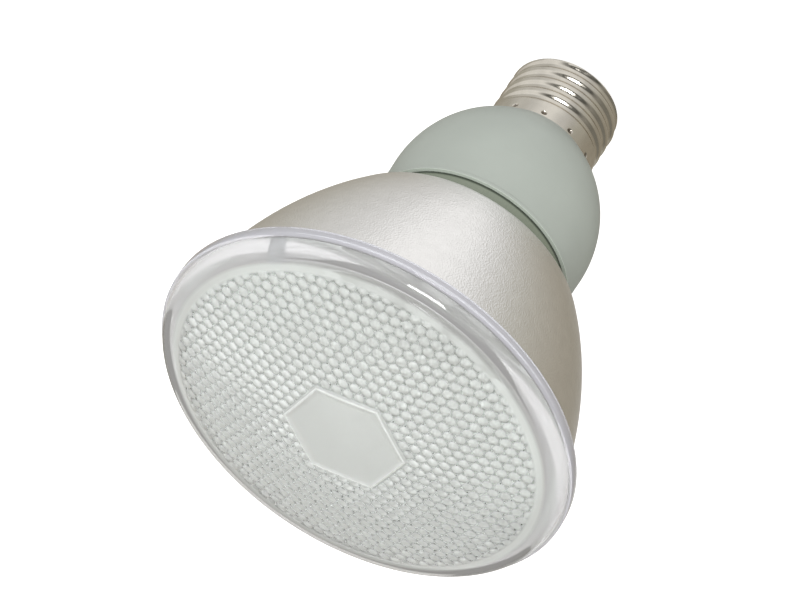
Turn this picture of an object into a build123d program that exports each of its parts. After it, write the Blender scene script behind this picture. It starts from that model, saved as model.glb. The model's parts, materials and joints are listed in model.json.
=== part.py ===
from build123d import *
import os
from math import asin, atan2, cos, degrees, radians, sin, sqrt, tan

# Reflector lamp with a screw base: a fluorescent tube and its ballast behind a clear patterned lens.
# Millimetres. The origin is the tip of the centre contact, and +Z runs along the lamp's axis to the lens.

# Clearances
FIT = 0.15              # pieces that are pushed or cemented into each other
LOOSE = 0.25            # wires, windings and the board in their places

# Screw base, standard 26 mm medium cap
CONTACT_R = 5.2
CONTACT_H = 1.2
CONTACT_ROUND = 0.8
INSULATOR_TIP_R = 6.2
INSULATOR_CONE_H = 3.8
INSULATOR_PLUG_H = 2.5
SHELL_WALL = 0.6
SHELL_CORNER = 2.0
SHELL_END_LIP = 0.6     # flat at the shell's end, inside its round corner
THREAD_R = 13.1
THREAD_DEPTH = 0.8
THREAD_PITCH = 3.629
THREAD_CREST_W = 0.33
THREAD_CREST_ANGLE = 10.0   # slope, in degrees, at which the groove's shoulder ends
THREAD_LENGTH = 16.2
THREAD_TURN = 30.0      # direction, in degrees, in which the groove starts
SKIRT_FLARE = 0.5
SKIRT_LENGTH = 3.5
SKIRT_WALL = 0.9
STAKE_COUNT = 12
STAKE_R = 0.75
STAKE_DEPTH = 0.45
STAKE_FROM_EDGE = 1.3
STAKE_TURN = 12.0

# Ballast housing
HOUSING_H = 34.0
HOUSING_WALL = 1.6
NECK_EDGE_STEP = 0.15   # by which the housing stands out from the skirt's edge
NECK_CONE_ANGLE = 43.0  # degrees from the axis
NECK_INNER_ANGLE = 36.0 # the same for the cone's inside, so that the wall thickens towards the belly
NECK_PLUG_LENGTH = 6.0
NECK_WALL = 1.5
BELLY_R = 24.0
BARREL_H = 11.7
BARREL_DRAFT = 0.3
LIP_PROUD = 0.5
LIP_H = 0.8
LEDGE_W = 1.8

# Tube holder: the glossy neck between housing and bell
NECK_H = 6.35
NECK_SEAT_W = 1.3       # how far the neck reaches over the housing's wall
HOLDER_PLUG_H = 5.1
HOLDER_WALL = 1.6
HOLDER_FLANGE_W = 2.0
HOLDER_FLANGE_T = 1.5
HOLDER_PLATE_T = 2.0

# Bell reflector
BELL_H = 40.55
BELL_WALL = 1.0
BELL_ARC_R = 93.0
BELL_SHOULDER_R = 5.1
BELL_SEAT_W = 2.35      # flat end between the neck and the shoulder's arc
RIM_W = 1.6
RIM_INSET = 0.9         # from the lens's side to the rim's edge

# Lens and its adhesive bead
SEAL_T = 0.4
SEAL_W = 1.5
LENS_H = 11.4
LENS_T = 2.2
LENS_FLANGE_T = 2.4
LENS_FLANGE_W = 0.8
LENS_FLANGE_ROUND = 0.5
LENS_SIDE_R = 46.7
LENS_SIDE_H = 0.1       # straight side between the flange and the shoulder
LENS_SHOULDER_R = 3.2
LENS_WALL = 4.5
LENS_INNER_ROUND = 1.5
HEX_R = 14.0
HEX_TURN = 18.8
HEX_PROUD = 0.4
LUG_R = 1.75
LUG_H = 4.6
LUG_TURN = -42.0

# Fluorescent tube: six legs on a circle, bent over in pairs
TUBE_R = 4.6
LEG_COUNT = 6
LEG_CIRCLE_R = 13.0
LEG_TAIL = 5.0          # how far the legs reach through the plate
TUBE_RISE = 34.0        # from the plate to the top of the bends
BRIDGE_R = 2.0
BRIDGE_RISE = 6.0

# Circuit board and what hangs from it
BOARD_T = 1.6
CORE_W = 13.0
CORE_H = 13.0
CORE_D = 6.0
CORE_LEG = 2.5
CORE_MIDDLE = 3.4
CORE_PLACE = (-10.5, 0.0)
WINDING_D = 10.5
WINDING_ROUND = 1.5
SMOOTHING_R = 4.5
SMOOTHING_H = 14.5
SMOOTHING_ROUND = 0.8
SMOOTHING_PLACE = (9.0, -8.4)
FILM_SIZE = (8.5, 4.0, 9.0)
FILM_ROUND = 1.0
FILM_PLACES = ((9.5, 5.8), (6.0, 11.5))
TRANSISTOR_SIZE = (8.0, 3.2, 11.0)
TRANSISTOR_HOLE_R = 1.6
TRANSISTOR_HOLE_RISE = 2.4  # from the case's free end to the hole's middle
TRANSISTOR_PLACES = ((-8.2, -9.4), (0.0, -5.5))
TOROID_R = 4.2
TOROID_HOLE_R = 2.2
TOROID_H = 4.2
TOROID_PLACE = (-4.0, 11.4)
TOROID_WINDINGS = 3
TOROID_WINDING_W = 2.0
TOROID_WINDING_T = 0.5
DIODE_R = 1.35
DIODE_H = 5.2
DIODE_SPACING = (3.6, 3.2)
DIODE_PLACE = (12.3, -0.4)
DRUM_R = 4.0
DRUM_H = 8.0
DRUM_CORE_R = 2.0
DRUM_FLANGE_T = 1.2
DRUM_PLACE = (0.2, -12.5)
FUSE_R = 1.9
FUSE_H = 9.0
FUSE_RISE = 8.8         # from the insulator's tip to the fuse resistor
LEAD_R = 0.45
LEAD_HOLE_R = 0.9
SHELL_LEAD_X = 7.0
SHELL_LEAD_BEND = 1.5
SHELL_LEAD_DROP = 1.0
FILAMENT_LEAD_R = 0.35
FILAMENT_LEAD_SPACING = 2.4

# Heights along the axis, each standing on the one before
CONE_Z = CONTACT_H
SHELL_Z = CONE_Z + INSULATOR_CONE_H
SKIRT_Z = SHELL_Z + THREAD_LENGTH
HOUSING_Z = SKIRT_Z + SKIRT_LENGTH
LIP_Z = HOUSING_Z + HOUSING_H
BELL_Z = LIP_Z + NECK_H
BELL_FLOOR_Z = BELL_Z + BELL_WALL
PLATE_TOP_Z = BELL_FLOOR_Z + HOLDER_FLANGE_T
PLATE_Z = PLATE_TOP_Z - HOLDER_PLATE_T
RIM_Z = BELL_Z + BELL_H
LENS_Z = RIM_Z + SEAL_T
APEX_Z = LENS_Z + LENS_H
BOARD_TOP_Z = LIP_Z - HOLDER_PLUG_H
BOARD_Z = BOARD_TOP_Z - BOARD_T
LEG_END_Z = PLATE_Z - LEG_TAIL
FUSE_Z = CONE_Z + FUSE_RISE

# Radii that follow from the fits
SHELL_BORE_R = THREAD_R - THREAD_DEPTH - SHELL_WALL
SHELL_END_R = THREAD_R - SHELL_CORNER - SHELL_END_LIP
SKIRT_R = THREAD_R + SKIRT_FLARE
SKIRT_BORE_R = THREAD_R - SKIRT_WALL
NECK_EDGE_R = SKIRT_R + NECK_EDGE_STEP
NECK_BORE_R = SHELL_BORE_R - FIT - NECK_WALL
BARREL_TOP_R = BELLY_R - BARREL_DRAFT
HOUSING_BORE_R = BARREL_TOP_R - HOUSING_WALL
LEDGE_R = HOUSING_BORE_R - LEDGE_W
HOLDER_PLUG_R = HOUSING_BORE_R - FIT
HOLDER_BORE_R = HOLDER_PLUG_R - HOLDER_WALL
NECK_R = HOUSING_BORE_R + NECK_SEAT_W
BELL_HOLE_R = NECK_R + FIT
LENS_R = LENS_SIDE_R + LENS_FLANGE_W
LENS_BORE_R = LENS_SIDE_R - LENS_WALL
RIM_R = LENS_SIDE_R - RIM_INSET
BELL_MOUTH_R = RIM_R - RIM_W

# Directions of the tube's legs, in degrees
LEG_STEP = 360 / LEG_COUNT
LEG_ANGLES = [LEG_STEP * (leg + 0.5) for leg in range(LEG_COUNT)]

STAND = (Align.CENTER, Align.CENTER, Align.MIN)
HANG = (Align.CENTER, Align.CENTER, Align.MAX)
TOUCHING = 1e-6


def outline(*items):
    """Closed face from points and arcs in order, joined by straight lines."""
    edges = [item for item in items if not isinstance(item, tuple)]
    ends = []
    for item in items:
        if isinstance(item, tuple):
            ends.append((Vector(*item), Vector(*item)))
        else:
            ends.append((item @ 0, item @ 1))
    for (_, leaving), (arriving, _) in zip(ends, ends[1:] + ends[:1]):
        if (arriving - leaving).length > TOUCHING:
            edges.append(Line(leaving, arriving))
    return make_face(edges)


def turned(*items):
    """Solid turned about the lamp's axis from an outline in radius and height."""
    return revolve(Plane.XZ * outline(*items), Axis.Z)


def arc(centre, radius, start, end):
    """Arc from one direction to another, in degrees."""
    return CenterArc(centre, radius, start, end - start)


def around(radius, angle, height=0.0):
    """Point at a radius and direction round the axis."""
    return Vector(radius * cos(radians(angle)), radius * sin(radians(angle)), height)


def centre_contact():
    button = arc((CONTACT_R - CONTACT_ROUND, CONTACT_ROUND), CONTACT_ROUND, -90, 0)
    return turned((0.0, 0.0), button, (CONTACT_R, CONTACT_H), (0.0, CONTACT_H))


def base_insulator():
    waist_r = SHELL_END_R - FIT
    plug_r = SHELL_BORE_R - FIT
    seat_z = SHELL_Z + SHELL_WALL
    top_z = seat_z + INSULATOR_PLUG_H
    return turned(
        (LEAD_HOLE_R, CONE_Z),
        (INSULATOR_TIP_R, CONE_Z),
        (waist_r, SHELL_Z),
        (waist_r, seat_z),
        (plug_r, seat_z),
        (plug_r, top_z),
        (LEAD_HOLE_R, top_z),
    )


def thread_groove():
    """Round-bottomed groove along a helix, with round shoulders that leave a narrow crest."""
    half_w = (THREAD_PITCH - THREAD_CREST_W) / 2
    flank = 2 * atan2(THREAD_DEPTH, half_w)
    round_r = half_w / (2 * sin(flank))
    shoulder = radians(THREAD_CREST_ANGLE)
    turn_x = -THREAD_DEPTH / 2
    turn_y = half_w / 2
    edge_x = round_r * (cos(shoulder) - 1)
    edge_y = half_w - round_r * sin(shoulder)
    middle = (flank + shoulder) / 2
    middle_x = round_r * (cos(middle) - 1)
    middle_y = half_w - round_r * sin(middle)
    section = outline(
        ThreePointArc((edge_x, -edge_y), (middle_x, -middle_y), (turn_x, -turn_y)),
        ThreePointArc((turn_x, -turn_y), (-THREAD_DEPTH, 0), (turn_x, turn_y)),
        ThreePointArc((turn_x, turn_y), (middle_x, middle_y), (edge_x, edge_y)),
        (THREAD_DEPTH, edge_y),
        (THREAD_DEPTH, -edge_y),
    )
    start_z = SHELL_Z - THREAD_PITCH
    length = SKIRT_Z - half_w - start_z
    helix = Helix(THREAD_PITCH, length, THREAD_R, center=(0, 0, start_z))
    across = Plane(helix @ 0, x_dir=(1, 0, 0), z_dir=helix % 0)
    groove = sweep(across * section, path=helix, is_frenet=True)
    return Rot(0, 0, THREAD_TURN) * groove


def screw_shell():
    end_inside_z = SHELL_Z + SHELL_WALL
    corner = arc((THREAD_R - SHELL_CORNER, SHELL_Z + SHELL_CORNER), SHELL_CORNER, -90, 0)
    shell = turned(
        (SHELL_END_R, SHELL_Z),
        corner,
        (THREAD_R, SKIRT_Z),
        (SKIRT_R, HOUSING_Z),
        (SKIRT_BORE_R, HOUSING_Z),
        (SKIRT_BORE_R, SKIRT_Z),
        (SHELL_BORE_R, SKIRT_Z),
        (SHELL_BORE_R, end_inside_z),
        (SHELL_END_R, end_inside_z),
    )
    stake_z = HOUSING_Z - STAKE_FROM_EDGE
    skirt_r = SKIRT_R - (SKIRT_R - THREAD_R) * STAKE_FROM_EDGE / SKIRT_LENGTH
    ball_at = skirt_r - STAKE_DEPTH + STAKE_R
    stakes = [
        Pos(around(ball_at, STAKE_TURN + 360 * stake / STAKE_COUNT, stake_z)) * Sphere(STAKE_R)
        for stake in range(STAKE_COUNT)
    ]
    return shell - thread_groove() - stakes


def ballast_housing():
    belly_z = LIP_Z - BARREL_H
    cone = radians(NECK_CONE_ANGLE)
    # The belly's arc touches the cone from the skirt's edge and is upright at the belly
    rise = belly_z - HOUSING_Z
    spread = BELLY_R - NECK_EDGE_R
    belly_arc_r = (rise * sin(cone) - spread * cos(cone)) / (1 - cos(cone))
    belly_at = (BELLY_R - belly_arc_r, belly_z)
    # The inside of the cone starts a wall's thickness behind the skirt's edge
    inner = radians(NECK_INNER_ANGLE)
    inner_r = NECK_EDGE_R - HOUSING_WALL * cos(inner)
    inner_z = HOUSING_Z + HOUSING_WALL * sin(inner)
    neck_top_z = inner_z + (NECK_BORE_R - inner_r) / tan(inner)
    cone_top_z = inner_z + (LEDGE_R - inner_r) / tan(inner)
    step_z = SKIRT_Z + FIT
    plug_end_z = SKIRT_Z - NECK_PLUG_LENGTH
    lip_r = BARREL_TOP_R + LIP_PROUD
    return turned(
        (lip_r, LIP_Z),
        (lip_r, LIP_Z - LIP_H),
        (BARREL_TOP_R, LIP_Z - LIP_H - LIP_PROUD),
        arc(belly_at, belly_arc_r, 0, -NECK_CONE_ANGLE),
        (NECK_EDGE_R, HOUSING_Z),
        (SKIRT_BORE_R - FIT, HOUSING_Z),
        (SKIRT_BORE_R - FIT, step_z),
        (SHELL_BORE_R - FIT, step_z),
        (SHELL_BORE_R - FIT, plug_end_z),
        (NECK_BORE_R, plug_end_z),
        (NECK_BORE_R, neck_top_z),
        (LEDGE_R, cone_top_z),
        (LEDGE_R, BOARD_Z),
        (HOUSING_BORE_R, BOARD_Z),
        (HOUSING_BORE_R, LIP_Z),
    )


def tube_holder():
    flange_r = NECK_R + HOLDER_FLANGE_W
    body = turned(
        (HOLDER_BORE_R, BOARD_TOP_Z),
        (HOLDER_PLUG_R, BOARD_TOP_Z),
        (HOLDER_PLUG_R, LIP_Z),
        (NECK_R, LIP_Z),
        (NECK_R, BELL_FLOOR_Z),
        (flange_r, BELL_FLOOR_Z),
        (flange_r, PLATE_TOP_Z),
        (0.0, PLATE_TOP_Z),
        (0.0, PLATE_Z),
        (HOLDER_BORE_R, PLATE_Z),
    )
    hole = Cylinder(TUBE_R + FIT, 2 * HOLDER_PLATE_T)
    holes = [Pos(around(LEG_CIRCLE_R, angle, PLATE_Z)) * hole for angle in LEG_ANGLES]
    return body - holes


def reflector():
    mouth = Vector(BELL_MOUTH_R, RIM_Z - BELL_WALL)
    shoulder = Vector(BELL_HOLE_R + BELL_SEAT_W, BELL_Z + BELL_SHOULDER_R)
    # The long arc ends at the mouth and touches the shoulder's arc
    between = BELL_ARC_R - BELL_SHOULDER_R
    span = mouth - shoulder
    along = (between ** 2 - BELL_ARC_R ** 2 + span.length ** 2) / (2 * span.length)
    aside = sqrt(between ** 2 - along ** 2)
    slope = span.normalized()
    centre = shoulder + slope * along + Vector(-slope.Y, slope.X) * aside
    meet = degrees(asin((centre.Y - shoulder.Y) / between))
    inner_arc_r = BELL_ARC_R - BELL_WALL
    mouth_turn = degrees(asin((centre.Y - mouth.Y) / BELL_ARC_R))
    inner_mouth_turn = degrees(asin((centre.Y - RIM_Z) / inner_arc_r))
    return turned(
        (BELL_HOLE_R, BELL_Z),
        arc(shoulder, BELL_SHOULDER_R, -90, -meet),
        arc(centre, BELL_ARC_R, -meet, -mouth_turn),
        (RIM_R, mouth.Y),
        (RIM_R, RIM_Z),
        arc(centre, inner_arc_r, -inner_mouth_turn, -meet),
        arc(shoulder, BELL_SHOULDER_R - BELL_WALL, -meet, -90),
        (BELL_HOLE_R, BELL_FLOOR_Z),
    )


def lens_seal():
    outer_r = BELL_MOUTH_R + SEAL_W
    ring = Cylinder(outer_r, SEAL_T, align=STAND) - Cylinder(BELL_MOUTH_R, SEAL_T, align=STAND)
    return Pos(0, 0, RIM_Z) * ring


def lens():
    ledge_z = LENS_Z + LENS_FLANGE_T
    # The dome runs over the apex and touches the shoulder, which touches the side
    shoulder_r = LENS_SIDE_R - LENS_SHOULDER_R
    shoulder_z = ledge_z + LENS_SIDE_H
    rise = APEX_Z - shoulder_z
    dome_r = (shoulder_r ** 2 + rise ** 2 - LENS_SHOULDER_R ** 2) / (2 * (rise - LENS_SHOULDER_R))
    dome_z = APEX_Z - dome_r
    shoulder_turn = degrees(atan2(shoulder_z - dome_z, shoulder_r))
    inner_dome_r = dome_r - LENS_T
    inner_at_r = LENS_BORE_R - LENS_INNER_ROUND
    inner_rise = sqrt((inner_dome_r - LENS_INNER_ROUND) ** 2 - inner_at_r ** 2)
    inner_turn = degrees(atan2(inner_rise, inner_at_r))
    rim_at = (LENS_R - LENS_FLANGE_ROUND, ledge_z - LENS_FLANGE_ROUND)
    cover = turned(
        (LENS_BORE_R, LENS_Z),
        (LENS_R, LENS_Z),
        arc(rim_at, LENS_FLANGE_ROUND, 0, 90),
        (LENS_SIDE_R, ledge_z),
        arc((shoulder_r, shoulder_z), LENS_SHOULDER_R, 0, shoulder_turn),
        arc((0, dome_z), dome_r, shoulder_turn, 90),
        arc((0, dome_z), inner_dome_r, 90, inner_turn),
        arc((inner_at_r, dome_z + inner_rise), LENS_INNER_ROUND, inner_turn, 0),
    )
    hex_sag = dome_r - sqrt(dome_r ** 2 - HEX_R ** 2)
    hex_root_z = APEX_Z - (LENS_T + hex_sag) / 2
    prism = extrude(RegularPolygon(HEX_R, 6, rotation=HEX_TURN), LENS_T + hex_sag)
    hex_pad = Pos(0, 0, hex_root_z) * prism & Pos(0, 0, dome_z) * Sphere(dome_r + HEX_PROUD)
    lug = Pos(around(LENS_BORE_R, LUG_TURN, LENS_Z)) * Cylinder(LUG_R, LUG_H, align=STAND)
    return cover + hex_pad + lug


def tube_pair(first, second):
    """Two legs and the bend that joins them at the top."""
    start = around(LEG_CIRCLE_R, first, LEG_END_Z)
    end = around(LEG_CIRCLE_R, second, LEG_END_Z)
    bend_r = (end - start).length / 2
    bend_z = PLATE_TOP_Z + TUBE_RISE - TUBE_R - bend_r
    rise = Vector(0, 0, bend_z - LEG_END_Z)
    crown = (start + end) / 2 + rise + Vector(0, 0, bend_r)
    path = Wire([
        Line(start, start + rise),
        ThreePointArc(start + rise, crown, end + rise),
        Line(end + rise, end),
    ])
    return sweep(Plane(start, z_dir=(0, 0, 1)) * Circle(TUBE_R), path=path)


def fluorescent_tube():
    legs = LEG_ANGLES
    tube = tube_pair(legs[0], legs[1])
    for pair in range(1, LEG_COUNT // 2):
        tube += tube_pair(legs[2 * pair], legs[2 * pair + 1])
    bridge_z = PLATE_TOP_Z + BRIDGE_RISE
    for pair in range(LEG_COUNT // 2 - 1):
        start = around(LEG_CIRCLE_R, legs[2 * pair + 1], bridge_z)
        end = around(LEG_CIRCLE_R, legs[2 * pair + 2], bridge_z)
        along = Plane(start, z_dir=end - start)
        tube += along * Cylinder(BRIDGE_R, (end - start).length, align=STAND)
    return tube


def circuit_board():
    return Pos(0, 0, BOARD_Z) * Cylinder(HOUSING_BORE_R - LOOSE, BOARD_T, align=STAND)


def hung(place, shape):
    """Puts a component that hangs from its own origin under the board."""
    return Pos(place[0], place[1], BOARD_Z) * shape


def choke_core():
    """Two ferrite halves closed to a frame with a middle leg."""
    window_w = (CORE_W - 2 * CORE_LEG - CORE_MIDDLE) / 2
    window_h = CORE_H - 2 * CORE_LEG
    frame = Box(CORE_D, CORE_W, CORE_H, align=HANG)
    window_at = (CORE_MIDDLE + window_w) / 2
    window = Box(2 * CORE_D, window_w, window_h)
    windows = [Pos(0, side * window_at, -CORE_H / 2) * window for side in (-1, 1)]
    return hung(CORE_PLACE, frame - windows)


def choke_winding():
    coil_w = CORE_W - 2 * CORE_LEG - 2 * LOOSE
    coil_h = CORE_H - 2 * CORE_LEG - 2 * LOOSE
    coil = Box(WINDING_D, coil_w, coil_h)
    coil = fillet(coil.edges().filter_by(Axis.Z), WINDING_ROUND)
    slot = Box(CORE_D + 2 * LOOSE, CORE_MIDDLE + 2 * LOOSE, CORE_H)
    return hung(CORE_PLACE, Pos(0, 0, -CORE_H / 2) * (coil - slot))


def smoothing_capacitor():
    can = Cylinder(SMOOTHING_R, SMOOTHING_H, align=HANG)
    return hung(SMOOTHING_PLACE, fillet(can.edges(), SMOOTHING_ROUND))


def film_capacitors():
    block = Box(*FILM_SIZE, align=HANG)
    block = fillet(block.edges().filter_by(Axis.Z), FILM_ROUND)
    return [hung(place, block) for place in FILM_PLACES]


def transistors():
    width, depth, height = TRANSISTOR_SIZE
    hole_z = TRANSISTOR_HOLE_RISE - height
    hole = Pos(0, 0, hole_z) * Rot(90, 0, 0) * Cylinder(TRANSISTOR_HOLE_R, 2 * depth)
    case = Box(width, depth, height, align=HANG) - hole
    return [hung(place, case) for place in TRANSISTOR_PLACES]


def drive_toroid():
    ring = Cylinder(TOROID_R, TOROID_H) - Cylinder(TOROID_HOLE_R, 2 * TOROID_H)
    drop = TOROID_WINDING_T + LOOSE + TOROID_H / 2
    return hung(TOROID_PLACE, Pos(0, 0, -drop) * ring)


def drive_windings():
    """Bands of wire wound round the toroid's section, standing on the board."""
    ring_w = TOROID_R - TOROID_HOLE_R
    inner = Box(ring_w + 2 * LOOSE, 2 * TOROID_WINDING_W, TOROID_H + 2 * LOOSE)
    outer_w = ring_w + 2 * (LOOSE + TOROID_WINDING_T)
    outer_h = TOROID_H + 2 * (LOOSE + TOROID_WINDING_T)
    band = Box(outer_w, TOROID_WINDING_W, outer_h) - inner
    band = Pos((TOROID_R + TOROID_HOLE_R) / 2, 0, -outer_h / 2) * band
    step = 360 / TOROID_WINDINGS
    return [hung(TOROID_PLACE, Rot(0, 0, step * turn) * band) for turn in range(TOROID_WINDINGS)]


def rectifier_diodes():
    diode = Cylinder(DIODE_R, DIODE_H, align=HANG)
    return [hung(DIODE_PLACE, place * diode) for place in GridLocations(*DIODE_SPACING, 2, 2)]


def input_choke_core():
    drum = Cylinder(DRUM_CORE_R, DRUM_H, align=HANG)
    flange = Cylinder(DRUM_R, DRUM_FLANGE_T, align=HANG)
    lower = Pos(0, 0, DRUM_FLANGE_T - DRUM_H) * flange
    return hung(DRUM_PLACE, drum + flange + lower)


def input_choke_coil():
    coil_h = DRUM_H - 2 * (DRUM_FLANGE_T + LOOSE)
    coil = Cylinder(DRUM_R - LOOSE, coil_h) - Cylinder(DRUM_CORE_R + LOOSE, DRUM_H)
    return hung(DRUM_PLACE, Pos(0, 0, -DRUM_H / 2) * coil)


def fuse_resistor():
    return Pos(0, 0, FUSE_Z) * Cylinder(FUSE_R, FUSE_H, align=STAND)


def contact_lead():
    """The centre lead below and above the fuse resistor."""
    fuse_top_z = FUSE_Z + FUSE_H
    lower = Pos(0, 0, CONTACT_H) * Cylinder(LEAD_R, FUSE_Z - CONTACT_H, align=STAND)
    upper = Pos(0, 0, fuse_top_z) * Cylinder(LEAD_R, BOARD_Z - fuse_top_z, align=STAND)
    return [lower, upper]


def shell_lead():
    """Down from the board, out under the neck's end and against the shell's wall."""
    foot_z = SKIRT_Z - NECK_PLUG_LENGTH - LEAD_R - SHELL_LEAD_DROP
    top = (SHELL_LEAD_X, 0, BOARD_Z)
    corner = (SHELL_LEAD_X, 0, foot_z)
    end = (SHELL_BORE_R - FIT, 0, foot_z)
    path = FilletPolyline(top, corner, end, radius=SHELL_LEAD_BEND)
    return sweep(Plane(top, z_dir=(0, 0, -1)) * Circle(LEAD_R), path=path)


def filament_leads():
    """Two wires from each end of the tube to the board."""
    lead = Cylinder(FILAMENT_LEAD_R, LEG_END_Z - BOARD_TOP_Z, align=STAND)
    leads = []
    for angle in (LEG_ANGLES[0], LEG_ANGLES[-1]):
        for side in (-1, 1):
            sideways = around(side * FILAMENT_LEAD_SPACING / 2, angle + 90)
            leads.append(Pos(around(LEG_CIRCLE_R, angle, BOARD_TOP_Z) + sideways) * lead)
    return leads


PIECES = [
    centre_contact,
    base_insulator,
    screw_shell,
    ballast_housing,
    tube_holder,
    reflector,
    lens_seal,
    lens,
    fluorescent_tube,
    circuit_board,
    choke_core,
    choke_winding,
    smoothing_capacitor,
    film_capacitors,
    transistors,
    drive_toroid,
    drive_windings,
    rectifier_diodes,
    input_choke_core,
    input_choke_coil,
    fuse_resistor,
    contact_lead,
    shell_lead,
    filament_leads,
]

os.makedirs("parts", exist_ok=True)
for piece in PIECES:
    made = piece()
    solids = made if isinstance(made, list) else [made]
    export_step(Compound(children=solids), os.path.join("parts", piece.__name__ + ".step"))
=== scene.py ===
import json
from math import atan2, cos, pi, radians, sin, sqrt

import bpy
import numpy as np
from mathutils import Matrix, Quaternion, Vector


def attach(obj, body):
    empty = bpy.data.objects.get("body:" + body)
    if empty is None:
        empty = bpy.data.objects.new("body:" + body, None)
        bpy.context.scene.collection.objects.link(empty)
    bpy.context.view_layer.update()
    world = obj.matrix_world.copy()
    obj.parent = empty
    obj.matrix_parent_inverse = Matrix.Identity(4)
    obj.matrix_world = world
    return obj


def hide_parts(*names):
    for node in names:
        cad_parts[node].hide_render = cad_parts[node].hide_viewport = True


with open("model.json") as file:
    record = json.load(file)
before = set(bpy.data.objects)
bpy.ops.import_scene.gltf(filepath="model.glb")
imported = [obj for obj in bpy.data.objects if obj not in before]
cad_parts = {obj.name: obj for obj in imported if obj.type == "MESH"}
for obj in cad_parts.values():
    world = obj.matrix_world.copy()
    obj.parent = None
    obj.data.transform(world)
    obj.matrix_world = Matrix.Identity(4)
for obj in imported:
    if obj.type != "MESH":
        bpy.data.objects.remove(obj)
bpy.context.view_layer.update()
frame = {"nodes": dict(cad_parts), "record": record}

# Looks of the reflector lamp. Its lengths are in millimetres, and MM turns them into metres.
MM = 0.001

# Screw shell, sizes of the solid
SHELL_Z = 5.0
SHELL_WALL = 0.6
SHELL_CORNER = 2.0
SHELL_END_LIP = 0.6
THREAD_R = 13.1
THREAD_DEPTH = 0.8
THREAD_PITCH = 3.629
THREAD_CREST_W = 0.33
THREAD_LENGTH = 16.2
THREAD_TURN = 30.0
SKIRT_FLARE = 0.5
SKIRT_LENGTH = 3.5
SKIRT_WALL = 0.9
STAKE_COUNT = 12
STAKE_R = 0.75
STAKE_DEPTH = 0.45
STAKE_FROM_EDGE = 1.3
STAKE_TURN = 12.0
SKIRT_Z = SHELL_Z + THREAD_LENGTH
SKIRT_TOP_Z = SKIRT_Z + SKIRT_LENGTH
STAKE_Z = SKIRT_TOP_Z - STAKE_FROM_EDGE
SHELL_BORE_R = THREAD_R - THREAD_DEPTH - SHELL_WALL
SHELL_END_R = THREAD_R - SHELL_CORNER - SHELL_END_LIP
SKIRT_R = THREAD_R + SKIRT_FLARE
SKIRT_BORE_R = THREAD_R - SKIRT_WALL

# Housing, sizes of the solid
HOUSING_H = 34.0
LIP_TOP_Z = SKIRT_TOP_Z + HOUSING_H

# Lens, sizes of the solid
LENS_Z = 106.0
LENS_H = 11.4
LENS_T = 2.2
LENS_FLANGE_T = 2.4
LENS_FLANGE_W = 0.8
LENS_FLANGE_ROUND = 0.5
LENS_SIDE_R = 46.7
LENS_SIDE_H = 0.1
LENS_SHOULDER_R = 3.2
LENS_WALL = 4.5
LENS_INNER_ROUND = 1.5
HEX_R = 14.0
HEX_TURN = 18.8
HEX_PROUD = 0.4
LUG_R = 1.75
LUG_TURN = -42.0
LENS_APEX_Z = LENS_Z + LENS_H
LENS_LEDGE_Z = LENS_Z + LENS_FLANGE_T
LENS_SHOULDER_Z = LENS_LEDGE_Z + LENS_SIDE_H
LENS_R = LENS_SIDE_R + LENS_FLANGE_W
LENS_BORE_R = LENS_SIDE_R - LENS_WALL
HEX_APOTHEM = HEX_R * cos(radians(30))
LUG_X = LENS_BORE_R * cos(radians(LUG_TURN))
LUG_Y = LENS_BORE_R * sin(radians(LUG_TURN))

# The dome is part of a ball that runs over the apex and touches the shoulder's arc, to 0.01 mm
SHOULDER_AT_R = LENS_SIDE_R - LENS_SHOULDER_R
DOME_RISE = LENS_APEX_Z - LENS_SHOULDER_Z
DOME_SPAN = SHOULDER_AT_R ** 2 + DOME_RISE ** 2 - LENS_SHOULDER_R ** 2
DOME_R = round(DOME_SPAN / (2 * (DOME_RISE - LENS_SHOULDER_R)), 2)
DOME_MIDDLE_Z = LENS_APEX_Z - DOME_R

# Sizes that only the looks have
PEBBLE_PITCH = 2.61
PEBBLE_R = 1.9
PEBBLE_ZONE_R = 41.2
PEBBLE_FADE = 0.7           # width over which the pebbles end at the rim
PEBBLE_START = 0.45         # from the hexagon's edge to the first ring of pebbles
PEBBLE_RISE = (0.4, 1.0)    # from the hexagon's edge, where the pebbles rise to their height
BEAD_START = 0.8            # from the hexagon's edge inwards to the bead
BEAD_PROFILE = (            # distance from the hexagon's edge, and height as a share of the hexagon's
    (-0.6, 1.3),
    (-0.4, 1.5),
    (-0.2, 1.45),
    (0.0, 1.1),
    (0.15, 0.6),
    (0.3, 0.1),
)
DOME_EDGE_R = 43.2          # last ring of the plain dome
LEDGE_STEP = 0.05           # from the flange's face to the lens's side
FLANGE_BEVEL = 0.15
INNER_DOME_R = (38.0, 2.0)  # first and last ring of the dome's inside
LUG_FOOT = 0.3              # from the lens's back to the lug
LUG_ROUND = 0.3
LUG_H = 3.6                 # ends short of the dome's inside
LUG_TOP_Z = LENS_Z + LUG_H
THREAD_RUNOUT = 0.22        # share of a turn over which the groove ends
THREAD_STEP = 0.14          # height between rings on the thread
SKIRT_BEVEL = 0.1

# Points in a ring
LENS_POINTS = 600
LUG_POINTS = 40
SHELL_POINTS = 480


# Meshes

def directions(count):
    """Angles of points spread evenly round an axis."""
    return np.arange(count) * 2 * pi / count


def ring(turn, radius, z, x=0.0, y=0.0):
    """Points round an axis at x and y."""
    heights = np.broadcast_to(z, turn.shape)
    return np.stack([x + radius * np.cos(turn), y + radius * np.sin(turn), heights], 1)


def arc(middle_r, middle_z, radius, start, end, count):
    """Points of a profile on an arc, as radius and height."""
    angles = np.linspace(start, end, count)
    return [(middle_r + radius * cos(angle), middle_z + radius * sin(angle)) for angle in angles]


def fade(value, low, high):
    """Smooth step from 0 at low to 1 at high."""
    t = np.clip((value - low) / (high - low), 0.0, 1.0)
    return t * t * (3 - 2 * t)


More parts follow.
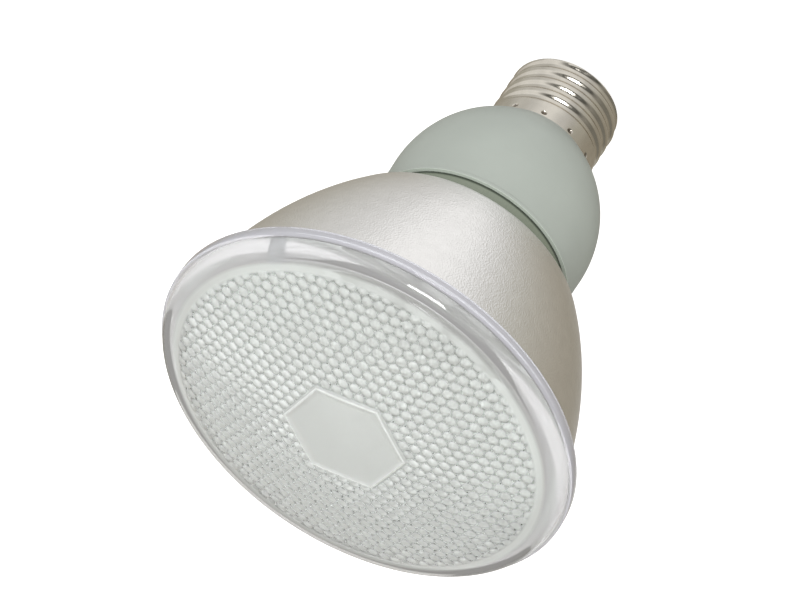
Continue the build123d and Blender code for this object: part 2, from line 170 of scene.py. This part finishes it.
def ringed_mesh(name, rings, first=None, last=None, closed=False):
    """Object skinned over rings of points of equal count, with a point at either end where one is given."""
    count = len(rings[0])
    points = list(rings)
    starts = [count * place for place in range(len(rings))]
    here = np.arange(count)
    beside = (here + 1) % count
    faces = []
    pairs = list(zip(starts, starts[1:]))
    if closed:
        pairs.append((starts[-1], starts[0]))
    for low, high in pairs:
        quads = np.stack([low + here, low + beside, high + beside, high + here], 1)
        faces.extend(quads.tolist())
    total = count * len(rings)
    if first is not None:
        points.append(np.asarray([first], float))
        faces.extend(np.stack([np.full(count, total), beside, here], 1).tolist())
        total += 1
    if last is not None:
        points.append(np.asarray([last], float))
        end = starts[-1]
        faces.extend(np.stack([np.full(count, total), end + here, end + beside], 1).tolist())
    mesh = bpy.data.meshes.new(name)
    mesh.from_pydata((np.concatenate(points) * MM).tolist(), [], faces)
    mesh.update()
    piece = bpy.data.objects.new(name, mesh)
    bpy.context.scene.collection.objects.link(piece)
    return piece


def smooth(piece, sharp_angle):
    piece.data.shade_smooth()
    piece.data.set_sharp_from_angle(angle=radians(sharp_angle))


def dome_z(radius):
    return DOME_MIDDLE_Z + np.sqrt(DOME_R ** 2 - radius ** 2)


def pebbles(x, y):
    """Height of touching round caps on a triangular lattice, with a mean near zero."""
    row = PEBBLE_PITCH * sqrt(3) / 2
    turn = radians(HEX_TURN)
    u = x * cos(turn) + y * sin(turn)
    v = y * cos(turn) - x * sin(turn)
    nearest = np.full_like(u, PEBBLE_R ** 2)
    base = np.floor(v / row)
    for step in (0, 1):
        line = base + step
        du = u - PEBBLE_PITCH / 2 * np.mod(line, 2)
        du = du - PEBBLE_PITCH * np.round(du / PEBBLE_PITCH)
        dv = v - line * row
        nearest = np.minimum(nearest, du * du + dv * dv)
    middle = sqrt(PEBBLE_R ** 2 - PEBBLE_PITCH ** 2 / 5)
    return np.sqrt(PEBBLE_R ** 2 - nearest) - middle


def lens_front(turn):
    """Rings of the hexagon, the bead round it and the pebbles, from the middle outwards."""
    hex_rings = 12
    pebble_rings = 93
    off_side = np.mod(np.degrees(turn) - HEX_TURN, 60.0) - 30.0
    hex_r = HEX_APOTHEM / np.cos(np.radians(off_side))
    rings = []
    for share in np.linspace(0, 1, hex_rings + 1)[1:]:
        radius = share * (hex_r - BEAD_START)
        rings.append(ring(turn, radius, dome_z(radius) + HEX_PROUD))
    for out, proud in BEAD_PROFILE:
        radius = hex_r + out
        rings.append(ring(turn, radius, dome_z(radius) + HEX_PROUD * proud))
    start = hex_r + PEBBLE_START
    for share in np.linspace(0, 1, pebble_rings):
        radius = start + (PEBBLE_ZONE_R + PEBBLE_FADE - start) * share
        risen = fade(radius - hex_r, *PEBBLE_RISE)
        ended = fade(radius, PEBBLE_ZONE_R - PEBBLE_FADE, PEBBLE_ZONE_R)
        bumps = pebbles(radius * np.cos(turn), radius * np.sin(turn))
        rings.append(ring(turn, radius, dome_z(radius) + risen * (1 - ended) * bumps))
    return rings


def lens_back():
    """Profile from the plain edge of the dome over shoulder, flange and bore to the smooth inside."""
    inner_rings = 10
    meet = atan2(LENS_SHOULDER_Z - DOME_MIDDLE_Z, SHOULDER_AT_R)
    flange_at = LENS_R - LENS_FLANGE_ROUND
    profile = [(DOME_EDGE_R, dome_z(DOME_EDGE_R))]
    profile.extend(arc(SHOULDER_AT_R, LENS_SHOULDER_Z, LENS_SHOULDER_R, meet, 0, count=13))
    profile.append((LENS_SIDE_R, LENS_LEDGE_Z + LEDGE_STEP))
    flange_z = LENS_LEDGE_Z - LENS_FLANGE_ROUND
    profile.extend(arc(flange_at, flange_z, LENS_FLANGE_ROUND, pi / 2, 0, count=6))
    profile.append((LENS_R, LENS_Z + FLANGE_BEVEL))
    profile.append((LENS_R - FLANGE_BEVEL, LENS_Z))
    profile.append((LENS_BORE_R, LENS_Z))
    inner_r = DOME_R - LENS_T
    inner_at = LENS_BORE_R - LENS_INNER_ROUND
    inner_rise = sqrt((inner_r - LENS_INNER_ROUND) ** 2 - inner_at ** 2)
    meet = atan2(inner_rise, inner_at)
    profile.extend(arc(inner_at, DOME_MIDDLE_Z + inner_rise, LENS_INNER_ROUND, 0, meet, count=6))
    for radius in np.linspace(*INNER_DOME_R, inner_rings):
        profile.append((radius, DOME_MIDDLE_Z + sqrt(inner_r ** 2 - radius ** 2)))
    return profile


def lens_piece():
    """Closed lens: hexagon, pebbled dome, shoulder, flange, bore and smooth inside."""
    turn = radians(HEX_TURN) + directions(LENS_POINTS)
    rings = lens_front(turn)
    rings.extend(ring(turn, radius, z) for radius, z in lens_back())
    front = (0, 0, LENS_APEX_Z + HEX_PROUD)
    back = (0, 0, LENS_APEX_Z - LENS_T)
    piece = ringed_mesh("lens_cover", rings, first=front, last=back)
    piece.data.flip_normals()
    smooth(piece, 50.0)
    return piece


def lug_piece():
    """Locating lug that stands in the lens's bore."""
    turn = directions(LUG_POINTS)
    foot_z = LENS_Z + LUG_FOOT
    profile = [(LUG_R - LUG_ROUND, foot_z)]
    profile.extend(arc(LUG_R - LUG_ROUND, foot_z + LUG_ROUND, LUG_ROUND, -pi / 2, 0, count=4))
    profile.append((LUG_R, LUG_TOP_Z))
    rings = [ring(turn, radius, z, LUG_X, LUG_Y) for radius, z in profile]
    piece = ringed_mesh("lens_lug", rings, first=(LUG_X, LUG_Y, foot_z), last=(LUG_X, LUG_Y, LUG_TOP_Z))
    smooth(piece, 35.0)
    return piece


def thread_depth(turn, z):
    """Depth of the rolled wave at a height. It fades out before the skirt."""
    start_z = SHELL_Z - THREAD_PITCH
    half_w = (THREAD_PITCH - THREAD_CREST_W) / 2
    end_turns = (SKIRT_Z - half_w - start_z) / THREAD_PITCH
    around = (turn - radians(THREAD_TURN)) / (2 * pi)
    around = around - np.floor(around)
    along = (z - start_z) / THREAD_PITCH - around
    lap = np.round(along)
    off = np.abs(along - lap) * THREAD_PITCH
    # Crest and root are arcs of one radius that touch halfway down
    flank = 2 * atan2(THREAD_DEPTH, THREAD_PITCH / 2)
    arc_r = THREAD_PITCH / 4 / sin(flank)
    root = THREAD_DEPTH - arc_r + np.sqrt(np.maximum(arc_r ** 2 - off ** 2, 0))
    crest = arc_r - np.sqrt(np.maximum(arc_r ** 2 - (THREAD_PITCH / 2 - off) ** 2, 0))
    wave = np.where(off < THREAD_PITCH / 4, root, crest)
    return wave * (1 - fade(lap + around, end_turns - THREAD_RUNOUT, end_turns))


def stake_depth(turn, z):
    """Depth of the round stake marks at a height of the skirt."""
    step = 2 * pi / STAKE_COUNT
    off = turn - radians(STAKE_TURN)
    off = off - step * np.round(off / step)
    away = (off * THREAD_R) ** 2 + (z - STAKE_Z) ** 2
    dent = np.sqrt(np.maximum(STAKE_R ** 2 - away, 0)) - (STAKE_R - STAKE_DEPTH)
    return np.maximum(dent, 0)


def shell_piece():
    """Rolled screw shell: wave thread, flared skirt with stake marks, plain inside."""
    skirt_rings = 44
    turn = directions(SHELL_POINTS)
    profile = [(SHELL_END_R, SHELL_Z)]
    corner_z = SHELL_Z + SHELL_CORNER
    profile.extend(arc(THREAD_R - SHELL_CORNER, corner_z, SHELL_CORNER, -pi / 2, 0, count=12))
    for z in np.arange(corner_z + THREAD_STEP, SKIRT_Z, THREAD_STEP):
        profile.append((THREAD_R, z))
    rings = [ring(turn, np.minimum(radius, THREAD_R - thread_depth(turn, z)), z) for radius, z in profile]
    for z in np.linspace(SKIRT_Z, SKIRT_TOP_Z - SKIRT_BEVEL, skirt_rings):
        radius = THREAD_R + SKIRT_FLARE * (z - SKIRT_Z) / SKIRT_LENGTH
        rings.append(ring(turn, radius - stake_depth(turn, z), z))
    inside = (
        (SKIRT_R - SKIRT_BEVEL, SKIRT_TOP_Z),
        (SKIRT_BORE_R, SKIRT_TOP_Z),
        (SKIRT_BORE_R, SKIRT_Z),
        (SHELL_BORE_R, SKIRT_Z),
        (SHELL_BORE_R, SHELL_Z + SHELL_WALL),
        (SHELL_END_R, SHELL_Z + SHELL_WALL),
    )
    rings.extend(ring(turn, radius, z) for radius, z in inside)
    piece = ringed_mesh("screw_shell_rolled", rings, closed=True)
    smooth(piece, 40.0)
    return piece


# Nodes: the helpers work in a material or the world, and most give back a node's output

def material(name, colour, roughness, metallic=0.0, **sockets):
    """Material with a Principled shader; keyword names are socket names with underscores for spaces."""
    made = bpy.data.materials.new(name)
    made.use_nodes = True
    shader = shader_of(made)
    shader.inputs["Base Color"].default_value = (*colour, 1.0)
    shader.inputs["Roughness"].default_value = roughness
    shader.inputs["Metallic"].default_value = metallic
    for socket, value in sockets.items():
        shader.inputs[socket.replace("_", " ")].default_value = value
    return made


def shader_of(made):
    return made.node_tree.nodes["Principled BSDF"]


def node(made, kind, **settings):
    fresh = made.node_tree.nodes.new(kind)
    for key, value in settings.items():
        if key in fresh.inputs:
            fresh.inputs[key].default_value = value
        else:
            setattr(fresh, key, value)
    return fresh


def link(made, out, into):
    made.node_tree.links.new(out, into)


def place_of(made, stretch=(1, 1, 1)):
    """Object coordinates, stretched where a direction has a longer grain."""
    coords = node(made, "ShaderNodeTexCoord")
    mapping = node(made, "ShaderNodeMapping", Scale=stretch)
    link(made, coords.outputs["Object"], mapping.inputs["Vector"])
    return mapping.outputs["Vector"]


def flattened(made, place):
    """A place without its height."""
    flat = node(made, "ShaderNodeVectorMath", operation="MULTIPLY")
    flat.inputs[1].default_value = (1, 1, 0)
    link(made, place, flat.inputs[0])
    return flat.outputs["Vector"]


def height_of(made, place):
    split = node(made, "ShaderNodeSeparateXYZ")
    link(made, place, split.inputs["Vector"])
    return split.outputs["Z"]


def reckoned(made, kind, operation, values):
    """Number that a node makes of fixed values and outputs."""
    step = node(made, kind, operation=operation)
    for socket, value in zip(step.inputs, values):
        if isinstance(value, (float, tuple)):
            socket.default_value = value
        else:
            link(made, value, socket)
    return step.outputs["Value"]


def maths(made, operation, *values):
    return reckoned(made, "ShaderNodeMath", operation, values)


def measured(made, operation, *vectors):
    return reckoned(made, "ShaderNodeVectorMath", operation, vectors)


def noise(made, size_mm, detail=2.0, stretch=(1, 1, 1)):
    texture = node(made, "ShaderNodeTexNoise", Scale=1 / (size_mm * MM), Detail=detail)
    link(made, place_of(made, stretch), texture.inputs["Vector"])
    return texture.outputs["Fac"]


def ranged(made, value, low, high, from_low=0.3, from_high=0.7):
    """Value carried from one range to another, and held at its ends; noise lies in the first range."""
    limits = node(made, "ShaderNodeMapRange")
    limits.inputs["From Min"].default_value = from_low
    limits.inputs["From Max"].default_value = from_high
    limits.inputs["To Min"].default_value = low
    limits.inputs["To Max"].default_value = high
    link(made, value, limits.inputs["Value"])
    return limits.outputs["Result"]


def rising(made, length, low_mm, high_mm):
    """Share that rises from 0 to 1 between two lengths."""
    return ranged(made, length, 0.0, 1.0, low_mm * MM, high_mm * MM)


def falling(made, length, low_mm, high_mm):
    """Share that falls from 1 to 0 between two lengths."""
    return ranged(made, length, 1.0, 0.0, low_mm * MM, high_mm * MM)


def mixed(made, factor, first, second):
    """Mix of two colours by a factor."""
    mix = node(made, "ShaderNodeMix", data_type="RGBA")
    link(made, factor, mix.inputs["Factor"])
    # The node's sockets share their names, so those for colours go by number
    for socket, value in ((mix.inputs[6], first), (mix.inputs[7], second)):
        if isinstance(value, tuple):
            socket.default_value = (*value, 1.0)
        else:
            link(made, value, socket)
    return mix.outputs[2]


def blended(made, factor, first, second):
    """Mix of two numbers by a factor."""
    mix = node(made, "ShaderNodeMix", data_type="FLOAT")
    link(made, factor, mix.inputs["Factor"])
    for socket, value in ((mix.inputs["A"], first), (mix.inputs["B"], second)):
        if isinstance(value, float):
            socket.default_value = value
        else:
            link(made, value, socket)
    return mix.outputs["Result"]


def tinted(made, factor, first, second):
    link(made, mixed(made, factor, first, second), shader_of(made).inputs["Base Color"])


def overlaid(made, factor, colour):
    """Lays a colour over the one that the shader has."""
    base = shader_of(made).inputs["Base Color"].links[0].from_socket
    tinted(made, factor, base, colour)


def roughened(made, value):
    link(made, value, shader_of(made).inputs["Roughness"])


def bumped(made, height, distance_mm, strength=1.0):
    bump = node(made, "ShaderNodeBump", Strength=strength, Distance=distance_mm * MM)
    link(made, height, bump.inputs["Height"])
    link(made, bump.outputs["Normal"], shader_of(made).inputs["Normal"])


# Materials

def moulded(name, colour, roughness, grain_mm=0.35, grain_depth_mm=0.01):
    """Moulded plastic: faint flow marks in the colour and a fine grain."""
    flow_mm = 14.0
    flow_shade = 0.94
    patch_mm = 5.0
    patch_roughness = 0.04
    made = material(name, colour, roughness)
    darker = tuple(c * flow_shade for c in colour)
    tinted(made, ranged(made, noise(made, flow_mm), 0, 1), colour, darker)
    bumped(made, noise(made, grain_mm, 3.0), grain_depth_mm)
    patches = noise(made, patch_mm)
    roughened(made, ranged(made, patches, roughness - patch_roughness, roughness + patch_roughness))
    return made


def plated(name, colour, roughness, grain_mm=0.5, stretch=(1, 1, 1)):
    """Metal with faint streaks in its gloss and colour."""
    streak_mm = 3.0
    streak_shade = 0.86
    grain_depth_mm = 0.004
    gloss_mm = 1.6
    polished = roughness - 0.05
    dulled = roughness + 0.08
    made = material(name, colour, roughness, metallic=1.0)
    darker = tuple(c * streak_shade for c in colour)
    tinted(made, ranged(made, noise(made, streak_mm, 3.0, stretch), 0, 1), colour, darker)
    bumped(made, noise(made, grain_mm, 2.0, stretch), grain_depth_mm)
    roughened(made, ranged(made, noise(made, gloss_mm, 3.0, stretch), polished, dulled))
    return made


def nickel_material():
    """Bright plated shell with painted shade in its stake marks."""
    painted_stake_shade = (0.16, 0.13, 0.1)
    made = plated("nickel", (0.70, 0.66, 0.585), 0.15, stretch=(1, 1, 0.25))
    place = place_of(made)
    height = height_of(made, place)
    # Painted shade in the stake marks: the colour darkens where the skirt is sunk below its flare
    skirt_r = ranged(made, height, THREAD_R * MM, SKIRT_R * MM, SKIRT_Z * MM, SKIRT_TOP_Z * MM)
    sunk = maths(made, "SUBTRACT", skirt_r, measured(made, "LENGTH", flattened(made, place)))
    deep = rising(made, sunk, 0.08, 0.3)
    on_skirt = rising(made, height, SKIRT_Z + 1, SKIRT_Z + 2)
    overlaid(made, maths(made, "MULTIPLY", deep, on_skirt), painted_stake_shade)
    return made


def housing_material():
    """Matte moulding, with a painted highlight along the edge of its lip."""
    painted_lip_highlight = (0.58, 0.64, 0.57)
    made = moulded("housing_plastic", (0.38, 0.415, 0.38), 0.5, 0.3, 0.012)
    # Painted highlight on the lip's end face
    edge = rising(made, height_of(made, place_of(made)), LIP_TOP_Z - 0.15, LIP_TOP_Z - 0.05)
    overlaid(made, edge, painted_lip_highlight)
    return made


def holder_material():
    """Polished moulding, with a painted shadow at the neck's foot, where it sits in the lip."""
    dark = (0.05, 0.06, 0.045)
    made = moulded("holder_plastic", (0.21, 0.24, 0.185), 0.16, 0.8, 0.004)
    # Painted shadow in the gap under the lip, at the neck's foot
    foot = falling(made, height_of(made, place_of(made)), LIP_TOP_Z + 0.4, LIP_TOP_Z + 0.8)
    overlaid(made, foot, dark)
    return made


def bell_material():
    """Satin metallised skin with a fine leathery grain outside and a bright inside."""
    outer = (0.92, 0.905, 0.885)
    outer_worn = (0.87, 0.855, 0.835)
    outer_rough = 0.3
    inner = (0.97, 0.98, 0.97)
    inner_rough = 0.4
    grain_mm = 0.4
    grain_depth_mm = 0.12
    wear_mm = 2.5
    made = material("bell_metal", outer, outer_rough, metallic=1.0)
    grain = node(made, "ShaderNodeTexVoronoi", feature="SMOOTH_F1", Scale=1 / (grain_mm * MM), Smoothness=0.5)
    link(made, place_of(made), grain.inputs["Vector"])
    bumped(made, grain.outputs["Distance"], grain_depth_mm, 0.7)
    # The inside is where the surface looks towards the axis
    geometry = node(made, "ShaderNodeNewGeometry")
    outward = flattened(made, geometry.outputs["Position"])
    facing = measured(made, "DOT_PRODUCT", outward, geometry.outputs["True Normal"])
    inside = maths(made, "LESS_THAN", facing, 0.0)
    worn = mixed(made, ranged(made, noise(made, wear_mm, 4.0), 0, 1), outer, outer_worn)
    tinted(made, inside, worn, inner)
    roughened(made, ranged(made, inside, outer_rough, inner_rough, 0.0, 1.0))
    return made


def hex_reach(made, flat):
    """Distance from the middle, square to the side of the hexagon that is nearest."""
    sides = []
    for turn in (30.0, 90.0, 150.0):
        angle = radians(HEX_TURN + turn)
        side = measured(made, "DOT_PRODUCT", flat, (cos(angle), sin(angle), 0.0))
        sides.append(maths(made, "ABSOLUTE", side))
    return maths(made, "MAXIMUM", maths(made, "MAXIMUM", sides[0], sides[1]), sides[2])


def lug_share(made, place, flat):
    """1 on the lug, 0 elsewhere."""
    away = measured(made, "DISTANCE", flat, (LUG_X * MM, LUG_Y * MM, 0.0))
    near = falling(made, away, LUG_R + 0.1, LUG_R + 0.2)
    below = falling(made, height_of(made, place), LUG_TOP_Z + 0.1, LUG_TOP_Z + 0.2)
    return maths(made, "MULTIPLY", near, below)


def lens_material():
    """Clear moulded cover: frosted hexagon, pebbles hazed on their caps, and a clear rim."""
    made = material("lens_clear", (0.93, 0.96, 0.94), 0.05, IOR=1.49)
    place = place_of(made)
    flat = flattened(made, place)
    # Zones by the distance from the axis, and by that from the hexagon's sides
    reach = measured(made, "LENGTH", flat)
    plain = rising(made, reach, PEBBLE_ZONE_R - 0.3, PEBBLE_ZONE_R + 0.2)
    rim = rising(made, reach, PEBBLE_ZONE_R + 1.2, PEBBLE_ZONE_R + 2.0)
    flange = rising(made, reach, LENS_SIDE_R + 0.1, LENS_SIDE_R + 0.4)
    across = hex_reach(made, flat)
    pebbled = rising(made, across, HEX_APOTHEM - 0.4, HEX_APOTHEM - 0.2)
    bead_in = rising(made, across, HEX_APOTHEM - 0.6, HEX_APOTHEM - 0.4)
    bead_out = falling(made, across, HEX_APOTHEM - 0.1, HEX_APOTHEM + 0.1)
    bead = maths(made, "MULTIPLY", bead_in, bead_out)
    lug = lug_share(made, place, flat)
    # The lens's inside lies nearer to the middle of the dome's ball, and the valleys nearer than the caps
    ball_r = measured(made, "DISTANCE", place, (0.0, 0.0, DOME_MIDDLE_Z * MM))
    outside = rising(made, ball_r, DOME_R - 1.6, DOME_R - 1.2)
    cap = rising(made, ball_r, DOME_R - 0.3, DOME_R + 0.1)
    # How clear each zone is
    hex_clear = 0.55
    bead_clear = 0.35
    valley_clear = 0.92
    cap_clear = 0.6
    plain_clear = 0.5
    inside_clear = 1.0
    shoulder_clear = 0.7
    flange_clear = 0.5
    lug_clear = 0.25
    pebble_clear = ranged(made, cap, valley_clear, cap_clear, 0.0, 1.0)
    rim_clear = ranged(made, flange, shoulder_clear, flange_clear, 0.0, 1.0)
    clear = blended(made, pebbled, hex_clear, pebble_clear)
    clear = blended(made, bead, clear, bead_clear)
    clear = blended(made, plain, clear, plain_clear)
    clear = blended(made, outside, inside_clear, clear)
    clear = blended(made, rim, clear, rim_clear)
    clear = blended(made, lug, clear, lug_clear)
    link(made, clear, shader_of(made).inputs["Transmission Weight"])
    hex_rough = 0.4
    pebble_rough = 0.04
    roughened(made, ranged(made, pebbled, hex_rough, pebble_rough, 0.0, 1.0))
    # Tint of each zone: painted shade makes the valleys between the pebbles darker than the caps
    valley_painted_shade = (0.86, 0.91, 0.90)
    cap_tint = (0.97, 1.0, 0.985)
    inside_tint = (0.965, 0.99, 0.98)
    shoulder_tint = (0.97, 0.97, 0.98)
    flange_tint = (0.86, 0.86, 0.93)
    lug_tint = (0.62, 0.66, 0.68)
    dome_tint = mixed(made, outside, inside_tint, mixed(made, cap, valley_painted_shade, cap_tint))
    rim_tint = mixed(made, flange, shoulder_tint, flange_tint)
    tinted(made, lug, mixed(made, rim, dome_tint, rim_tint), lug_tint)
    return made


materials = {
    "nickel": nickel_material(),
    "base_glass": moulded("base_glass", (0.02, 0.018, 0.022), 0.2),
    "solder": plated("solder", (0.7, 0.69, 0.66), 0.38),
    "housing_plastic": housing_material(),
    "holder_plastic": holder_material(),
    "bell_metal": bell_material(),
    "adhesive": moulded("adhesive", (0.72, 0.74, 0.76), 0.4, 2.5, 0.2),
    "lens_clear": lens_material(),
    "tube_glass": moulded("tube_glass", (0.94, 0.94, 0.92), 0.25, 0.6, 0.003),
    "board": moulded("board", (0.34, 0.23, 0.09), 0.5),
    "ferrite": moulded("ferrite", (0.03, 0.03, 0.033), 0.6),
    "copper": plated("copper", (0.55, 0.22, 0.09), 0.35, 0.3, (1, 1, 6)),
    "capacitor_sleeve": moulded("capacitor_sleeve", (0.012, 0.015, 0.03), 0.25),
    "film_coat": moulded("film_coat", (0.25, 0.03, 0.02), 0.3),
    "package_black": moulded("package_black", (0.012, 0.012, 0.013), 0.5),
    "resistor_coat": moulded("resistor_coat", (0.22, 0.29, 0.33), 0.5),
    "tinned_wire": plated("tinned_wire", (0.75, 0.74, 0.71), 0.3),
}
slot_of = {row["node"]: row["material_slot"] for row in frame["record"]["subparts"]}


# Pieces

def dress(piece, slot):
    piece.data.materials.clear()
    piece.data.materials.append(materials[slot])


for name, solid in frame["nodes"].items():
    dress(solid, slot_of[name])


def add_piece(piece, slot, *stands_for):
    dress(piece, slot)
    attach(piece, "root")
    if stands_for:
        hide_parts(*stands_for)


add_piece(lens_piece(), "lens_clear", "lens")
add_piece(lug_piece(), "lens_clear")
add_piece(shell_piece(), "nickel", "screw_shell")

# Floor, in metres: pale, white to the camera, and it keeps the lamp's shadow
FLOOR_HALF = 4.0
FLOOR_GLOW = 0.75           # what lifts the pale floor to white
FLOOR_CORNERS = ((-1, -1), (1, -1), (1, 1), (-1, 1))
floor_mesh = bpy.data.meshes.new("floor")
floor_points = [(x * FLOOR_HALF, y * FLOOR_HALF, 0) for x, y in FLOOR_CORNERS]
floor_mesh.from_pydata(floor_points, [], [(0, 1, 2, 3)])
floor = bpy.data.objects.new("floor", floor_mesh)
bpy.context.scene.collection.objects.link(floor)
paper = material("paper", (0.8, 0.8, 0.8), 0.9, Emission_Color=(1, 1, 1, 1))
rays = node(paper, "ShaderNodeLightPath")
in_view = maths(paper, "MAXIMUM", rays.outputs["Is Camera Ray"], rays.outputs["Is Transmission Ray"])
link(paper, maths(paper, "MULTIPLY", in_view, FLOOR_GLOW), shader_of(paper).inputs["Emission Strength"])

# Metal mirrors painted light on the floor, a glow that only glossy rays see: white in front of the lamp,
# falling off to the sides and a little paler again behind it, with a second, weaker painted light on its left
LIGHT_TURN = radians(18)
LIGHT_SOFTENING = 1.5 * MM
LEFT_LIGHT = 0.35
LEFT_SPREAD = (0.6, 0.97)   # cosines between which the second light rises
FLOOR_SHADES = (            # from behind the lamp, 0, to the front, 1
    (0.0, (0.64, 0.63, 0.60, 1)),
    (0.04, (0.54, 0.53, 0.49, 1)),
    (0.14, (0.33, 0.30, 0.24, 1)),
    (0.5, (0.40, 0.37, 0.31, 1)),
    (0.77, (0.515, 0.505, 0.455, 1)),
    (0.92, (0.74, 0.74, 0.74, 1)),
    (0.975, (1.0, 1.0, 1.0, 1)),
)
spot = node(paper, "ShaderNodeTexCoord").outputs["Object"]
distance = maths(paper, "ADD", measured(paper, "LENGTH", spot), LIGHT_SOFTENING)
ahead = measured(paper, "DOT_PRODUCT", spot, (sin(LIGHT_TURN), -cos(LIGHT_TURN), 0.0))
leftward = measured(paper, "DOT_PRODUCT", spot, (cos(LIGHT_TURN), sin(LIGHT_TURN), 0.0))
left_light = ranged(paper, maths(paper, "DIVIDE", leftward, distance), 0.0, LEFT_LIGHT, *LEFT_SPREAD)
facing = maths(paper, "ADD", maths(paper, "DIVIDE", ahead, distance), left_light)
falloff = node(paper, "ShaderNodeValToRGB")
stops = falloff.color_ramp.elements
for stop, (share, colour) in zip(stops, (FLOOR_SHADES[0], FLOOR_SHADES[-1])):
    stop.position = share
    stop.color = colour
for share, colour in FLOOR_SHADES[1:-1]:
    stops.new(share).color = colour
link(paper, ranged(paper, facing, 0.0, 1.0, -1.0, 1.0), falloff.inputs["Fac"])
# Painted light: the floor glows with these shades for glossy rays only
mirrored = node(paper, "ShaderNodeEmission")
link(paper, falloff.outputs["Color"], mirrored.inputs["Color"])
either = node(paper, "ShaderNodeMixShader")
link(paper, rays.outputs["Is Glossy Ray"], either.inputs["Fac"])
link(paper, shader_of(paper).outputs["BSDF"], either.inputs[1])
link(paper, mirrored.outputs["Emission"], either.inputs[2])
link(paper, either.outputs["Shader"], paper.node_tree.nodes["Material Output"].inputs["Surface"])
floor_mesh.materials.append(paper)

# World: white to the camera, a studio with a bright front and warmer sides to the rest
STUDIO_TURN = radians(40)
STUDIO_SPREAD = (-0.2, 0.9) # cosines between which it brightens
STUDIO_SIDES = (0.60, 0.58, 0.54)
WHITE = (1.0, 1.0, 1.0)
world = bpy.data.worlds.new("studio")
bpy.context.scene.world = world
world.use_nodes = True
rays = node(world, "ShaderNodeLightPath")
direction = node(world, "ShaderNodeTexCoord").outputs["Generated"]
ahead = measured(world, "DOT_PRODUCT", direction, (sin(STUDIO_TURN), -cos(STUDIO_TURN), 0.0))
studio = mixed(world, ranged(world, ahead, 0.0, 1.0, *STUDIO_SPREAD), STUDIO_SIDES, WHITE)

# The unlit side of the room and the dark room behind the photographer show in what is glossy
UNLIT_SIDE = (0.24, 0.23, 0.20)
UNLIT_SPREAD = (0.1, 0.8)   # cosines between which it darkens
DARK_ROOM = (0.10, 0.10, 0.09)
DARK_ROOM_AT = tuple(Vector((0.0, -0.74, 0.67)).normalized())
DARK_ROOM_SPREAD = (cos(radians(42)), cos(radians(28)))
aside = measured(world, "DOT_PRODUCT", direction, (-1.0, 0.0, 0.0))
behind = measured(world, "DOT_PRODUCT", direction, DARK_ROOM_AT)
dark = ranged(world, behind, 0.0, 1.0, *DARK_ROOM_SPREAD)
glossy = mixed(world, ranged(world, aside, 0.0, 1.0, *UNLIT_SPREAD), studio, UNLIT_SIDE)
glossy = mixed(world, dark, glossy, DARK_ROOM)
shown = mixed(world, rays.outputs["Is Glossy Ray"], studio, glossy)
in_view = maths(world, "MAXIMUM", rays.outputs["Is Camera Ray"], rays.outputs["Is Transmission Ray"])
shown = mixed(world, in_view, shown, WHITE)
link(world, shown, world.node_tree.nodes["Background"].inputs["Color"])

# Square light above the photographer's side, in metres
UMBRELLA_AT = Vector((0.08, -0.9, 0.85))
UMBRELLA_AIM = Vector((0.0, 0.0, 0.06))
UMBRELLA_SIZE = 0.35
UMBRELLA_WATTS = 7.0
light = bpy.data.lights.new("umbrella", "AREA")
light.shape = "RECTANGLE"
light.size = UMBRELLA_SIZE
light.size_y = UMBRELLA_SIZE
light.energy = UMBRELLA_WATTS
umbrella = bpy.data.objects.new("umbrella", light)
umbrella.location = UMBRELLA_AT
umbrella.rotation_euler = (UMBRELLA_AIM - UMBRELLA_AT).to_track_quat("-Z", "Y").to_euler()
bpy.context.scene.collection.objects.link(umbrella)

# Camera at the photo's angle, in metres
CAMERA_AT = Vector((0.0, -0.640624, 0.586432))
CAMERA_AIM = Vector((0.006299, 0.0, 0.078761))
CAMERA_ROLL = radians(-146.1808)
CAMERA_LENS = 173.33        # focal length and sensor in millimetres
CAMERA_SENSOR = 36.0
CAMERA_CLIP = 0.01
camera = bpy.data.objects.new("camera", bpy.data.cameras.new("camera"))
camera.data.lens = CAMERA_LENS
camera.data.sensor_width = CAMERA_SENSOR
camera.data.clip_start = CAMERA_CLIP
camera.location = CAMERA_AT
aimed = (CAMERA_AIM - CAMERA_AT).to_track_quat("-Z", "Y")
camera.rotation_euler = (aimed @ Quaternion((0, 0, 1), CAMERA_ROLL)).to_euler()
bpy.context.scene.collection.objects.link(camera)
bpy.context.scene.camera = camera

bpy.context.scene.view_settings.view_transform = "Standard"
